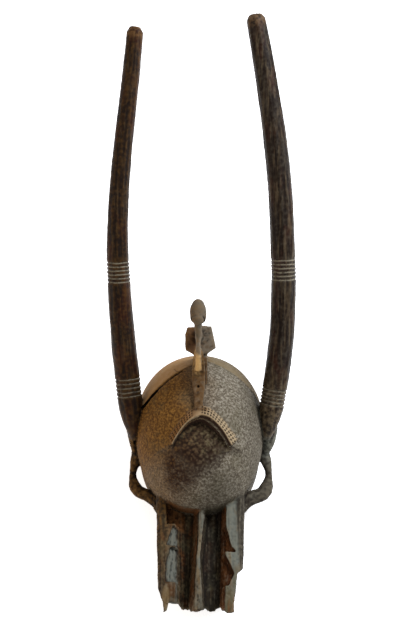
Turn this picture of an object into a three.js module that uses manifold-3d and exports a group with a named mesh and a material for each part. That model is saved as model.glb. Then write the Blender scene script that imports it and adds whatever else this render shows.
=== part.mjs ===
// A helmet mask carved from one block of wood: a hollow helmet with a brow arch, a keel and a hornbill on
// its crown, two long horns, two ears, two side loops and a trough-topped muzzle with open jaws.
// Millimetres, Z up. The rim stands on z = 0, the muzzle points along -Y and the horns sweep back along +Y.
// Every size is set out from the middle of the helmet's widest section. At the end the whole mask is moved
// so that its origin is on the floor, in the middle of the mask's outer box.
import * as THREE from "three";
import { mergeVertices } from "three/addons/utils/BufferGeometryUtils.js";
import Module from "manifold-3d";

const wasm = await Module();
wasm.setup();

// The helmet is an egg in plan: a straight wall below, a rounded dome above. A squareness of 2 is an ellipse,
// and more fills out its corners.
const helmet = {
  halfWidth: 116,
  frontReach: 163,
  backReach: 130,
  frontSquareness: 2.2,
  backSquareness: 2.08,
  domeRise: 128,
  wallHeight: 84,
  rimFrontDraw: 12,
  rimSideDraw: 4,
  wallThickness: 17,
  crownThickness: 24,
};

// The brow arch is an upside-down U on the front of the dome: a band that rises to a lip over the forehead.
// The lip's inner face leans in at its foot, by the amounts listed from the arch's left end to its right end.
const brow = {
  middle: 4,
  endY: -83,
  topY: -40,
  halfSpan: 51,
  roundness: 1.9,
  bandWidth: 22,
  leftSideShare: 0.3,
  rightSideShare: 0.65,
  endDraw: 17,
  innerLip: 10,
  innerLeans: [0, 0, 2, 5, 11, 12, 10],
  outerLip: 1.5,
  rootDepth: 14,
  steps: 18,
};

// The forehead under the arch is the same egg, wider, moved down and forward, so that it fades out.
const forehead = {
  widening: 30,
  drop: 14,
  forward: 10,
  reach: 80,
  reachY: -95,
};

// The horns share one rise in side view. Each has its own spread and thickness along its length.
const hornRise = {
  startY: -34,
  startZ: 103,
  startAngle: 37,
  endAngle: 30,
  straightFrom: 357,
};

const horns = {
  left: {
    side: -1,
    length: 728,
    spread: [114, 126, 135.5, 141.5, 144, 140, 131, 120, 111],
    radius: [23.5, 21.8, 18.8, 16.4, 14.8],
    rings: [
      { from: 82, count: 5, pitch: 7.6 },
      { from: 286, count: 6, pitch: 6.8 },
    ],
  },
  right: {
    side: 1,
    length: 750,
    spread: [118, 134, 145.5, 148.5, 145.5, 139, 128, 113.5, 97],
    radius: [23, 22.2, 21.6, 20.3, 17],
    rings: [
      { from: 67, count: 5, pitch: 6.6 },
      { from: 291, count: 6, pitch: 6.8 },
    ],
  },
};
const hornSides = 12;
const hornStep = 38;
const hornRoot = 70;
const hornRootRadius = 0.32;
const tipLength = 9;
const tipRadius = 0.62;
const ringDepth = 1.6;
const ringHalfWidth = 1.4;

// The bird stands on the crown, its wings spread, and its long beak comes down onto the keel.
const bird = {
  middle: -1,
  bodyLeft: -9,
  bodyRight: 14,
  wingThickness: 11,
  wingMiddleY: 88,
  wingMiddleZ: 246,
  wingLean: 30,
  headX: -2,
  headY: 102,
  headZ: 322,
  headHalfWidth: 14.5,
  headHalfLength: 25.5,
  headHalfHeight: 16,
  capFrontY: 87.5,
  billRoot: [-2.5, 88.5, 326],
  billRootRadius: 11,
};

// The keel is leaf-shaped in plan. Its half widths run from its front to its back.
const keel = {
  middle: -1.5,
  frontY: -30,
  backY: 66,
  halfWidths: [6.5, 8, 10, 11.5, 10.5, 5.5],
};

// The muzzle is a long upper jaw, open on top in two troughs with a ridge between them, over a lower jaw.
const muzzle = {
  rootY: -120,
  length: 228,
  middle: 1.8,
  halfWidth: 78.4,
  frontNarrowing: 0.1,
  top: 90,
  topShoulder: 83,
  wallInner: 37,
  troughFloor: 56,
  palate: 46,
};

// How far a break leans back for each millimetre below the muzzle's top.
const brokenLean = 0.35;

// The ridge leans to the left on its way forward and swells near its end, where its top is broken down.
const ridge = {
  middles: [5, 4.5, 1.5, -1.5, -1.5, -2],
  halfWidths: [6, 5, 3.2, 3, 6, 7.5],
  heights: [93, 93, 93, 92, 90, 78],
  leftFlare: 13,
  rightFlare: 5,
};

const lowerJaw = {
  length: 186,
  halfWidth: 64,
  bottom: 9,
  top: 34,
  rootY: -120,
};

const jawTeeth = {
  count: 5,
  firstY: -192,
  pitch: 27,
  depth: 8,
};

// The saw teeth along the muzzle's walls are what is left between notches that open into the troughs.
// Each notch is given by its edge on the wall's top, from the helmet forward. Its floor slopes to the trough.
const rightNotches = {
  troughSide: 36,
  edgeHeight: 84,
  floorHeight: 64,
  edges: [
    [[43, -180], [56, -230], [64, -239]],
    [[44, -242], [60, -277], [49, -299]],
    [[37, -303], [43, -350]],
  ],
};
const leftNotches = {
  troughSide: -34,
  edgeHeight: 87,
  floorHeight: 66,
  edges: [
    [[-47, -192], [-58, -227]],
    [[-51, -231], [-58, -260], [-57, -292]],
  ],
};

const loops = {
  left: { side: -1, bow: 120.5, corner: 112.5, cornerY: -107, barY: -119.5, bar: 11.5 },
  right: { side: 1, bow: 125, corner: 115, cornerY: -113, barY: -124, bar: 13.5 },
};

// How far out each ear stands, and how thick its leaf is from the root down.
const ears = {
  left: { side: -1, out: 119.5, across: [6, 7, 6, 4] },
  right: { side: 1, out: 122, across: [12, 14, 13, 5] },
};

const woodColour = 0x5b4a3a;

// Moves every point of a geometry by a function that changes the point it is given.
function reshape(geometry, change) {
  const places = geometry.attributes.position;
  const point = new THREE.Vector3();
  for (let i = 0; i < places.count; i += 1) {
    point.fromBufferAttribute(places, i);
    change(point);
    places.setXYZ(i, point.x, point.y, point.z);
  }
  return geometry;
}

// Six times the volume, which is negative when the faces point inwards.
function signedVolume(places, corners) {
  const [a, b, c] = [new THREE.Vector3(), new THREE.Vector3(), new THREE.Vector3()];
  let total = 0;
  for (let i = 0; i < corners.length; i += 3) {
    a.fromArray(places, corners[i] * 3);
    b.fromArray(places, corners[i + 1] * 3);
    c.fromArray(places, corners[i + 2] * 3);
    total += a.dot(b.cross(c));
  }
  return total;
}

// Makes a closed geometry a solid that can be joined and cut.
function solid(geometry) {
  geometry.deleteAttribute("normal");
  geometry.deleteAttribute("uv");
  const merged = mergeVertices(geometry, 0.001);
  const places = Float32Array.from(merged.attributes.position.array);
  const corners = [];
  for (let i = 0; i < merged.index.count; i += 3) {
    const [a, b, c] = [0, 1, 2].map((k) => merged.index.getX(i + k));
    if (a !== b && b !== c && c !== a) {
      corners.push(a, b, c);
    }
  }
  if (signedVolume(places, corners) < 0) {
    corners.reverse();
  }
  const mesh = { numProp: 3, vertProperties: places, triVerts: Uint32Array.from(corners) };
  return new wasm.Manifold(new wasm.Mesh(mesh));
}

function joined(solids) {
  return solids.reduce((all, next) => all.add(next));
}

// Where limbs cross they can close in a pocket of air. The wood is solid there, so only the outside is kept.
function withoutPockets(shape) {
  return shape.decompose().reduce((most, next) => (next.volume() > most.volume() ? next : most));
}

// A flat outline in plan, as a block from one height to another.
function block(points, low, high) {
  const shape = new THREE.Shape(points.map(([x, y]) => new THREE.Vector2(x, y)));
  const geometry = new THREE.ExtrudeGeometry(shape, { depth: high - low, bevelEnabled: false });
  return solid(geometry.translate(0, 0, low));
}

// An outline in side view, drawn as Y and Z, as a plate between two X values.
function sidePlate(points, left, right) {
  const shape = new THREE.Shape(points.map(([y, z]) => new THREE.Vector2(y, z)));
  const geometry = new THREE.ExtrudeGeometry(shape, { depth: right - left, bevelEnabled: false });
  return solid(reshape(geometry, (p) => p.set(left + p.z, p.x, p.y)));
}

function ellipsoid(centre, half, turnX = 0) {
  const geometry = new THREE.SphereGeometry(1, 16, 12);
  geometry.scale(...half).rotateX(THREE.MathUtils.degToRad(turnX));
  return solid(geometry.translate(...centre));
}

// A value read between evenly spaced entries of a list, on a smooth curve.
function along(values, t) {
  const points = values.map((v, i) => new THREE.Vector3(i, v, 0));
  return new THREE.CatmullRomCurve3(points, false, "centripetal").getPoint(t).y;
}

// A tapering limb: a closed cylinder whose rings are moved to stations on a route.
// A station holds t, its place on the route from 0 to 1, and its radius across and up.
function limb(route, stations, sides, up = new THREE.Vector3(0, 0, 1)) {
  const rows = stations.length - 1;
  const geometry = new THREE.CylinderGeometry(1, 1, 1, sides, rows);
  return solid(
    reshape(geometry, (p) => {
      const station = stations[Math.round((0.5 - p.y) * rows)];
      const forward = route.getTangentAt(station.t);
      const across = new THREE.Vector3().crossVectors(forward, up).normalize();
      const upward = new THREE.Vector3().crossVectors(across, forward);
      const [x, z] = [p.x * station.across, p.z * station.up];
      p.copy(route.getPointAt(station.t)).addScaledVector(across, x).addScaledVector(upward, z);
    }),
  );
}

function route(points) {
  return new THREE.CatmullRomCurve3(points.map((p) => new THREE.Vector3(...p)), false, "centripetal");
}

// A limb whose two radii run smoothly through short lists.
function tapered(points, across, up, steps, sides, upward) {
  const stations = [];
  for (let i = 0; i <= steps; i += 1) {
    const t = i / steps;
    stations.push({ t, across: along(across, t), up: along(up, t) });
  }
  return limb(route(points), stations, sides, upward);
}

// How far out a place lies in the egg's plan, drawn to a unit circle's size: 0 in its middle, 1 on its edge.
function planReach(x, y) {
  const squareness = y < 0 ? helmet.frontSquareness : helmet.backSquareness;
  return (Math.abs(x) ** squareness + Math.abs(y) ** squareness) ** (1 / squareness);
}

// The helmet's egg, grown outwards, closed below at a flat bottom.
function egg(grow, rise, bottom, around, upward, widen = 0) {
  const profile = [new THREE.Vector2(0, bottom), new THREE.Vector2(1, bottom)];
  for (let i = 0; i < upward; i += 1) {
    const angle = (i / upward) * (Math.PI / 2);
    const height = helmet.wallHeight + rise * Math.sin(angle);
    profile.push(new THREE.Vector2(Math.cos(angle), height));
  }
  profile.push(new THREE.Vector2(0, helmet.wallHeight + rise));
  const geometry = new THREE.LatheGeometry(profile, around).rotateX(Math.PI / 2);
  return reshape(geometry, (p) => {
    const low = Math.max(0, 1 - p.z / helmet.wallHeight);
    const front = helmet.frontReach + grow - helmet.rimFrontDraw * low;
    const back = helmet.backReach + grow;
    const square = Math.hypot(p.x, p.y) / Math.max(planReach(p.x, p.y), 0.000001);
    p.x *= square * (helmet.halfWidth + grow + widen - helmet.rimSideDraw * low);
    p.y *= square * (p.y < 0 ? front : back);
  });
}

// A point of the arch's inner edge moved outwards by a share of the band's width.
function browPoint(t, outward) {
  const offset = t * 2 - 1;
  const height = 1 - Math.abs(offset) ** brow.roundness;
  const share = offset < 0 ? brow.leftSideShare : brow.rightSideShare;
  const x = brow.middle + offset * (brow.halfSpan + outward * share);
  const draw = outward * (brow.endDraw / brow.bandWidth) * (1 - height);
  return [x, brow.endY + draw + height * (brow.topY - brow.endY + outward - draw)];
}

function browEdge(outward) {
  const points = [];
  for (let i = 0; i <= brow.steps; i += 1) {
    points.push(browPoint(i / brow.steps, outward));
  }
  return points;
}

function domeHeight(x, y) {
  const reach = y < 0 ? helmet.frontReach : helmet.backReach;
  const out = planReach(x / helmet.halfWidth, y / reach);
  return helmet.wallHeight + helmet.domeRise * Math.sqrt(1 - out ** 2);
}

// The band is a bent bar whose long side follows the arch and whose top slopes from the lip down to the dome.
function browBand() {
  const bar = new THREE.BoxGeometry(1, 1, 1, brow.steps, 1, 1);
  return solid(
    reshape(bar, (p) => {
      const share = p.y + 0.5;
      const lean = p.y < 0 && p.z < 0 ? along(brow.innerLeans, p.x + 0.5) : 0;
      const [x, y] = browPoint(p.x + 0.5, share * brow.bandWidth - lean);
      const lip = brow.innerLip + share * (brow.outerLip - brow.innerLip);
      p.set(x, y, domeHeight(x, y) + (p.z > 0 ? lip : -brow.rootDepth));
    }),
  );
}

// Everything between the arch and the forehead's own surface, which is cut away.
function foreheadCut() {
  const front = -helmet.frontReach - 10;
  const outline = [
    ...browEdge(0),
    [forehead.reach, forehead.reachY],
    [forehead.reach, front],
    [-forehead.reach, front],
    [-forehead.reach, forehead.reachY],
  ];
  const surface = solid(egg(0, helmet.domeRise, 0, 44, 12, forehead.widening));
  return block(outline, 104, 260).subtract(surface.translate(0, -forehead.forward, -forehead.drop));
}

// The horns' shared side view: straight at first, then bending down a little.
function hornSideView(distance) {
  const step = 4;
  let [y, z] = [hornRise.startY, hornRise.startZ];
  for (let gone = 0; gone < distance; gone += step) {
    const bend = Math.max(0, gone - hornRise.straightFrom) / 400;
    const degrees = hornRise.startAngle - (hornRise.startAngle - hornRise.endAngle) * bend;
    const angle = THREE.MathUtils.degToRad(degrees);
    const part = Math.min(step, distance - gone);
    y += part * Math.cos(angle);
    z += part * Math.sin(angle);
  }
  return [y, z];
}

// Where the horn's rings stand: plain ones at even steps, and three for each incised line.
function hornStations(horn) {
  const plain = [];
  for (let at = 0; at < horn.length - tipLength; at += at < hornRoot ? hornStep / 2 : hornStep) {
    plain.push({ at, cut: 0 });
  }
  const lines = [];
  for (const group of horn.rings) {
    for (let i = 0; i < group.count; i += 1) {
      const at = group.from + i * group.pitch;
      lines.push({ at: at - ringHalfWidth, cut: 0 });
      lines.push({ at, cut: ringDepth });
      lines.push({ at: at + ringHalfWidth, cut: 0 });
    }
  }
  const clear = (p) => lines.every((l) => Math.abs(l.at - p.at) > 5);
  const all = [...plain.filter(clear), ...lines, { at: horn.length - tipLength, cut: 0 }];
  return all.sort((a, b) => a.at - b.at);
}

// The horn tapers down to its root, where it lies against the helmet's side.
function hornRadius(horn, at) {
  const share = Math.sin((Math.min(1, at / hornRoot) * Math.PI) / 2);
  return along(horn.radius, at / horn.length) * (hornRootRadius + (1 - hornRootRadius) * share);
}

function hornSolid(horn) {
  const points = horn.spread.map((spread, i) => {
    const [y, z] = hornSideView((horn.length * i) / (horn.spread.length - 1));
    return [horn.side * spread, y, z];
  });
  const stations = hornStations(horn).map(({ at, cut }) => {
    const radius = hornRadius(horn, at) - cut;
    return { t: at / horn.length, across: radius, up: radius };
  });
  const end = horn.radius.at(-1) * tipRadius;
  stations.push({ t: 1, across: end, up: end });
  return limb(route(points), stations, hornSides);
}

// The ear is a long leaf that runs from the horn's root down the helmet's side to the loop.
function earSolid({ side, out, across }) {
  const points = [
    [side * out, 10, 122],
    [side * (out + 5), -7, 100],
    [side * (out + 2), -27, 80],
    [side * (out - 3), -46, 62],
  ];
  return tapered(points, across, [16, 24, 18, 6], 8, 10);
}

// A tusk-like bar that leaves the helmet's side, turns a corner and runs into the muzzle's root.
function loopSolid(loop) {
  const points = [
    [loop.side * 108, -28, 68],
    [loop.side * (loop.bow - 7), -48, 59],
    [loop.side * loop.bow, -80, 51],
    [loop.side * loop.corner, loop.cornerY, 47],
    [loop.side * 92, loop.barY, 49],
    [loop.side * 74, loop.barY - 16, 52],
    [loop.side * 64, loop.barY - 42, 56],
  ];
  const across = [13, 11, 6.5, loop.bar, loop.bar, loop.bar, 10];
  return tapered(points, across, across, 18, 8);
}

function keelSolid() {
  const top = [[-30, 190], [-30, 213], [-10, 219], [12, 223], [28, 232], [42, 247], [54, 260], [66, 266]];
  const plate = sidePlate([...top, [66, 170]], -30, 30);
  const [left, right] = [[], []];
  const steps = 10;
  for (let i = 0; i <= steps; i += 1) {
    const half = along(keel.halfWidths, i / steps);
    const y = keel.frontY + ((keel.backY - keel.frontY) * i) / steps;
    left.unshift([keel.middle - half, y]);
    right.push([keel.middle + half, y]);
  }
  return plate.intersect(block([...right, ...left], 150, 280));
}

// The head is a cap over a ball at the bill's root. The cap is cut off straight over the ball's middle.
function headSolid() {
  const cap = ellipsoid(
    [bird.headX, bird.headY, bird.headZ],
    [bird.headHalfWidth, bird.headHalfLength, bird.headHalfHeight],
    8,
  );
  const front = new THREE.BoxGeometry(60, 40, 80).translate(bird.headX, bird.capFrontY - 20, bird.headZ);
  const ball = ellipsoid(bird.billRoot, Array(3).fill(bird.billRootRadius));
  return cap.subtract(solid(front)).add(ball);
}

function birdSolid() {
  const back = [[22, 190], [22, 212], [44, 226], [60, 238], [66, 236], [92, 250], [110, 258], [124, 240]];
  const body = sidePlate([...back, [104, 214], [92, 160]], bird.bodyLeft, bird.bodyRight);
  const neckRoute = [[bird.middle, 96, 246], [bird.middle, 92, 282], [bird.headX + 1, 97, 318]];
  const neck = tapered(neckRoute, [7, 5.4, 7], [13, 10, 11], 5, 10, new THREE.Vector3(0, -1, 0));
  const beakRoute = [
    [bird.headX, 90, 322],
    [bird.headX, 77, 311],
    [bird.headX, 64, 290],
    [bird.headX, 48, 262],
    [bird.headX, 34, 240],
  ];
  const beakHalf = [7.5, 5.5, 4.2, 6, 6.5];
  const beak = tapered(beakRoute, beakHalf, [9, 9, 8, 7, 4], 12, 8, new THREE.Vector3(0, -1, 0));
  return joined([body, neck, headSolid(), beak, wingSolid()]);
}

// The two wings are one shield-shaped plate that leans back, thick as a finger.
function wingSolid() {
  const outline = [[-21, 25], [21, 27], [29, -11], [16, -20], [-8, -24], [-24, -15], [-25, 12]];
  const shape = new THREE.Shape(outline.map(([x, y]) => new THREE.Vector2(x, y)));
  const geometry = new THREE.ExtrudeGeometry(shape, { depth: bird.wingThickness, bevelEnabled: false });
  geometry.translate(0, 0, -bird.wingThickness / 2);
  geometry.rotateX(THREE.MathUtils.degToRad(bird.wingLean));
  return solid(geometry.translate(0, bird.wingMiddleY, bird.wingMiddleZ));
}

// A cross-section drawn as X and Z, run forward along the muzzle and narrowed towards its front.
function alongMuzzle(points, rootY, length) {
  const shape = new THREE.Shape(points.map(([x, z]) => new THREE.Vector2(x, z)));
  const geometry = new THREE.ExtrudeGeometry(shape, { depth: length, steps: 2, bevelEnabled: false });
  return solid(
    reshape(geometry, (p) => {
      const narrow = 1 - muzzle.frontNarrowing * (p.z / muzzle.length);
      p.set(muzzle.middle + p.x * narrow, rootY - p.z, p.y);
    }),
  );
}

function upperJaw() {
  const half = [
    [muzzle.wallInner - 8, muzzle.troughFloor],
    [muzzle.wallInner, muzzle.troughFloor + 6],
    [muzzle.wallInner + 9, muzzle.top],
    [muzzle.halfWidth - 7, muzzle.top],
    [muzzle.halfWidth, muzzle.topShoulder],
    [muzzle.halfWidth, muzzle.palate],
  ];
  const mirrored = half.map(([x, z]) => [-x, z]).reverse();
  return alongMuzzle([...half, ...mirrored], muzzle.rootY, muzzle.length);
}

function ridgeSolid() {
  const bar = new THREE.BoxGeometry(1, 1, 1, 1, 12, 1);
  return solid(
    reshape(bar, (p) => {
      const t = 0.5 - p.y;
      const flare = p.x < 0 ? ridge.leftFlare : ridge.rightFlare;
      const half = along(ridge.halfWidths, t) + (p.z < 0 ? flare : 0);
      const height = p.z > 0 ? along(ridge.heights, t) : muzzle.troughFloor - 4;
      p.set(along(ridge.middles, t) + 2 * p.x * half, muzzle.rootY - t * muzzle.length, height);
    }),
  );
}

function lowerJawSolid() {
  const { halfWidth, bottom, top } = lowerJaw;
  const section = [
    [halfWidth, top],
    [halfWidth - 4, bottom + 8],
    [halfWidth - 16, bottom],
    [16 - halfWidth, bottom],
    [4 - halfWidth, bottom + 8],
    [-halfWidth, top],
  ];
  return alongMuzzle(section, lowerJaw.rootY, lowerJaw.length);
}

// The block behind the mouth that joins both jaws to the helmet.
function jawRoot() {
  const { halfWidth, palate } = muzzle;
  const outline = [[-halfWidth, -110], [halfWidth, -110], [halfWidth - 4, -172], [4 - halfWidth, -172]];
  return block(outline, lowerJaw.bottom, palate + 4);
}

// Cuts the notches of one wall: straight down at their edge, then sloping to the trough.
function notchCuts({ troughSide, edgeHeight, floorHeight, edges }) {
  return edges.map((edge) => {
    const [back, front] = [edge[0][1], edge.at(-1)[1]];
    const outline = [...edge, [troughSide, front], [troughSide, back]];
    const shape = new THREE.Shape(outline.map(([x, y]) => new THREE.Vector2(x, y)));
    const geometry = new THREE.ExtrudeGeometry(shape, { depth: 1, bevelEnabled: false });
    return solid(
      reshape(geometry, (p) => {
        const floor = p.x === troughSide ? floorHeight : edgeHeight;
        p.z = p.z > 0.5 ? muzzle.top + 12 : floor;
      }),
    );
  });
}

// Diamond bars laid across the mouth leave pointed teeth along both jaws.
function jawTeethCuts() {
  const cuts = [];
  const bar = jawTeeth.depth * Math.SQRT2;
  for (let i = 0; i < jawTeeth.count; i += 1) {
    const y = jawTeeth.firstY - i * jawTeeth.pitch;
    for (const [place, z] of [[y, muzzle.palate], [y - jawTeeth.pitch / 2, lowerJaw.top]]) {
      const geometry = new THREE.BoxGeometry(200, bar, bar).rotateX(Math.PI / 4);
      cuts.push(solid(geometry.translate(0, place, z)));
    }
  }
  return cuts;
}

// Cuts away an outline drawn at the muzzle's top. The cut leans back under the top by a share of its depth.
function leaningCut(points) {
  const low = lowerJaw.top + 2;
  const shape = new THREE.Shape(points.map(([x, y]) => new THREE.Vector2(x, y)));
  const geometry = new THREE.ExtrudeGeometry(shape, { depth: 90, bevelEnabled: false });
  const lean = (p) => (muzzle.top - low - p.z) * brokenLean;
  return solid(reshape(geometry, (p) => p.set(p.x, p.y + lean(p), p.z + low)));
}

// The broken front: everything forward of a ragged line is cut away, and the left corner with it.
function brokenFrontCut() {
  const line = [];
  for (let x = -90; x <= 90; x += 9) {
    const ragged = 2.2 * Math.sin(x * 0.21) + 1.6 * Math.sin(x * 0.53 + 1);
    const corner = 2.6 * Math.max(0, -60 - x);
    line.push([x, (x < -30 ? -330 : -343) + ragged + corner]);
  }
  return leaningCut([...line, [95, -420], [-95, -420]]);
}

function muzzleSolid() {
  const rightStep = [[100, -270], [74, -270], [65, -278], [62.5, -305], [58, -334], [58, -400], [100, -400]];
  const rootPocket = [[-59, -150], [-20, -150], [-20, -186], [-57, -188]];
  const cuts = [
    ...notchCuts(rightNotches),
    ...notchCuts(leftNotches),
    brokenFrontCut(),
    leaningCut(rightStep),
    block(rootPocket, muzzle.troughFloor + 4, 120),
    ...jawTeethCuts(),
  ];
  const fingerRoute = [[-56, -296, 85], [-57, -312, 85.5], [-57.5, -328, 84.5], [-57.6, -342, 83]];
  const finger = tapered(fingerRoute, [7, 6.6, 5, 2.2], [7, 6.6, 5, 2.2], 6, 8);
  const whole = joined([upperJaw(), ridgeSolid(), lowerJawSolid(), jawRoot()]);
  return joined([cuts.reduce((all, cut) => all.subtract(cut), whole), finger]);
}

// The long split from the left horn's root towards the back of the crown. It is widest at the horn.
function crackCut() {
  const line = [[-103, 7], [-91, 15], [-70, 31], [-49, 45], [-31, 57]];
  const half = [3.4, 2.2, 1.1, 0.8, 0.4];
  const upper = line.map(([x, y], i) => [x, y + half[i]]);
  const lower = line.map(([x, y], i) => [x, y - half[i]]).reverse();
  const floor = solid(egg(-9, helmet.domeRise - 9, 0, 44, 12));
  return block([...upper, ...lower], 120, 240).subtract(floor);
}

function wholeMask() {
  const dome = solid(egg(0, helmet.domeRise, 0, 44, 12));
  const inside = egg(-helmet.wallThickness, helmet.domeRise - helmet.crownThickness, -5, 32, 8);
  const cut = dome.subtract(foreheadCut());
  const carved = joined([
    cut,
    browBand(),
    keelSolid(),
    birdSolid(),
    hornSolid(horns.left),
    hornSolid(horns.right),
    earSolid(ears.left),
    earSolid(ears.right),
    loopSolid(loops.left),
    loopSolid(loops.right),
    muzzleSolid(),
  ]);
  return withoutPockets(carved.subtract(solid(inside)).subtract(crackCut()));
}

function meshOf(name, shape, colour) {
  const { vertProperties, triVerts } = shape.getMesh();
  const geometry = new THREE.BufferGeometry();
  geometry.setAttribute("position", new THREE.BufferAttribute(vertProperties, 3));
  geometry.setIndex(new THREE.BufferAttribute(triVerts, 1));
  geometry.computeBoundingBox();
  const middle = geometry.boundingBox.getCenter(new THREE.Vector3());
  geometry.translate(-middle.x, -middle.y, -geometry.boundingBox.min.z);
  geometry.computeVertexNormals();
  const material = new THREE.MeshStandardMaterial({ color: colour, roughness: 0.72, metalness: 0 });
  const mesh = new THREE.Mesh(geometry, material);
  mesh.name = name;
  return mesh;
}

const group = new THREE.Group();
group.add(meshOf("mask", wholeMask(), woodColour));

export default group;
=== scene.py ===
# The senufo helmet mask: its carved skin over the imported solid, its worn patina and its pale stage.
import itertools
import math

import bpy
import numpy as np
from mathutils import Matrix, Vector


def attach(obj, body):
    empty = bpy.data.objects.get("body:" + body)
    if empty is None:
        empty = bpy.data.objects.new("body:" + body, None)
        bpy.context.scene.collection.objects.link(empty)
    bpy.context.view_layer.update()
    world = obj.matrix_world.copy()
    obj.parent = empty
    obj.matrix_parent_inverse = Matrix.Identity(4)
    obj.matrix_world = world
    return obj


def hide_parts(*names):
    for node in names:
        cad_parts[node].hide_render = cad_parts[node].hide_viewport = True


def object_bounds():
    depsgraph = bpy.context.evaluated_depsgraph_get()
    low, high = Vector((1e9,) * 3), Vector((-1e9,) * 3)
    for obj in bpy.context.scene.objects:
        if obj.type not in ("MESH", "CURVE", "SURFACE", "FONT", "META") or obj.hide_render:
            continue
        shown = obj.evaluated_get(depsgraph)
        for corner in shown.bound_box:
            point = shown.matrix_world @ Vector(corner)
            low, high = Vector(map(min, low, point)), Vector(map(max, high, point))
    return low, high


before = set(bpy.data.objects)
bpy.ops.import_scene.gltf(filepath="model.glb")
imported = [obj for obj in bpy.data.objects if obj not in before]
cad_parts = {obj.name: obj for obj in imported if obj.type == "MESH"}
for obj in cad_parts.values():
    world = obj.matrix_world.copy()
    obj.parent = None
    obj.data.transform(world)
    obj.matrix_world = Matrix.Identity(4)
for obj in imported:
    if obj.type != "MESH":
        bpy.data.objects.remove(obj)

CAD_LOW, CAD_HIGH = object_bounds()

bl_info = {
    "name": "Senufo helmet mask",
    "version": (1, 0, 0),
    "blender": (4, 5, 0),
    "location": "3D View > Sidebar > Mask",
    "description": "Carves and finishes a wooden helmet mask over its packed solid",
    "category": "Object",
}

MM = 0.001

# Where the middle of the helmet's rim stands, from the left and the front of the mask's box, in mm.
HELMET_FROM_LEFT = 163.07
HELMET_FROM_FRONT = 346.63

# The carving's own sizes, in mm from the middle of the helmet's rim. Y points along the horns.
HELMET = {
    "half_width": 116,
    "front": 163,
    "back": 130,
    "front_squareness": 2.2,
    "back_squareness": 2.08,
    "wall": 84,
    "rise": 128,
    "front_draw": 12,
    "side_draw": 4,
}
FOREHEAD = {"widening": 30, "forward": 10, "drop": 14, "fade": 18}
BROW = {
    "middle": 4,
    "half_span": 51,
    "left_share": 0.3,
    "right_share": 0.65,
    "roundness": 1.9,
    "end_y": -83,
    "top_y": -40,
    "end_draw": 17,
    "width": 22,
}
# The middles of the brow's three rows of squares, outwards from the arch's inner edge.
GRID_ROWS = (5.4, 11.2, 17.0)

# The horns: where they start as y and z, their rise in degrees at first and at the end, how far they run
# straight, and how long and how thin the root is. Rings are given by place, count and spacing.
HORN_START = (-34, 103)
HORN_ANGLES = (37, 30)
HORN_STRAIGHT = 357
HORN_ROOT = (70, 0.32)
HORNS = [
    {
        "side": -1,
        "length": 728,
        "spread": [114, 126, 135.5, 141.5, 144, 140, 131, 120, 111],
        "radius": [23.5, 21.8, 18.8, 16.4, 14.8],
        "rings": [(82, 5, 7.6), (286, 6, 6.8)],
    },
    {
        "side": 1,
        "length": 750,
        "spread": [118, 134, 145.5, 148.5, 145.5, 139, 128, 113.5, 97],
        "radius": [23, 22.2, 21.6, 20.3, 17],
        "rings": [(67, 5, 6.6), (291, 6, 6.8)],
    },
]

# The muzzle's middle, and the line of its ridge seen from above.
MUZZLE_MIDDLE = 2
RIDGE = np.array([(-120, 5), (-166, 4.5), (-211, 1.5), (-257, -1.5), (-348, -2)])

# The split over the crown and the scratch across its end, then the places of single marks.
CRACK = [(-103, 7), (-91, 15), (-79, 24), (-70, 31), (-58, 40), (-49, 45), (-40, 51), (-30, 58)]
CRACK_SCRATCH = [(-45, 66), (-38, 58), (-29, 54)]
KEEL_HOLE = (-2, 12)
BEAK_BREAK = (-3, 48, 250)
SOOT = (-28, -108, 34, 36)
BILL_ROOT = (-2.5, 88.5, 326)
FINGER = (-57, -320)

# The camera, in metres, degrees and mm of lens.
CAMERA_PLACE = (0.00173, -1.15973, 2.31193)
CAMERA_TILT = 30
CAMERA_LENS = 78.39


def linear(code, alpha=1.0):
    """The linear colour of an sRGB hex code."""
    parts = [int(code[i : i + 2], 16) / 255 for i in (1, 3, 5)]
    return [c / 12.92 if c <= 0.04045 else ((c + 0.055) / 1.055) ** 2.4 for c in parts] + [alpha]


def length(name, description, default):
    """A size that a user can change, in metres."""
    return bpy.props.FloatProperty(
        name=name, description=description, default=default, min=0.0, unit="LENGTH", precision=4
    )


def colour(name, description, code):
    """A colour that a user can change."""
    return bpy.props.FloatVectorProperty(
        name=name, description=description, default=linear(code), size=4, subtype="COLOR", min=0.0, max=1.0
    )


def strength(name, description, default):
    """A light's strength that a user can change."""
    return bpy.props.FloatProperty(name=name, description=description, default=default, min=0.0)


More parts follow.
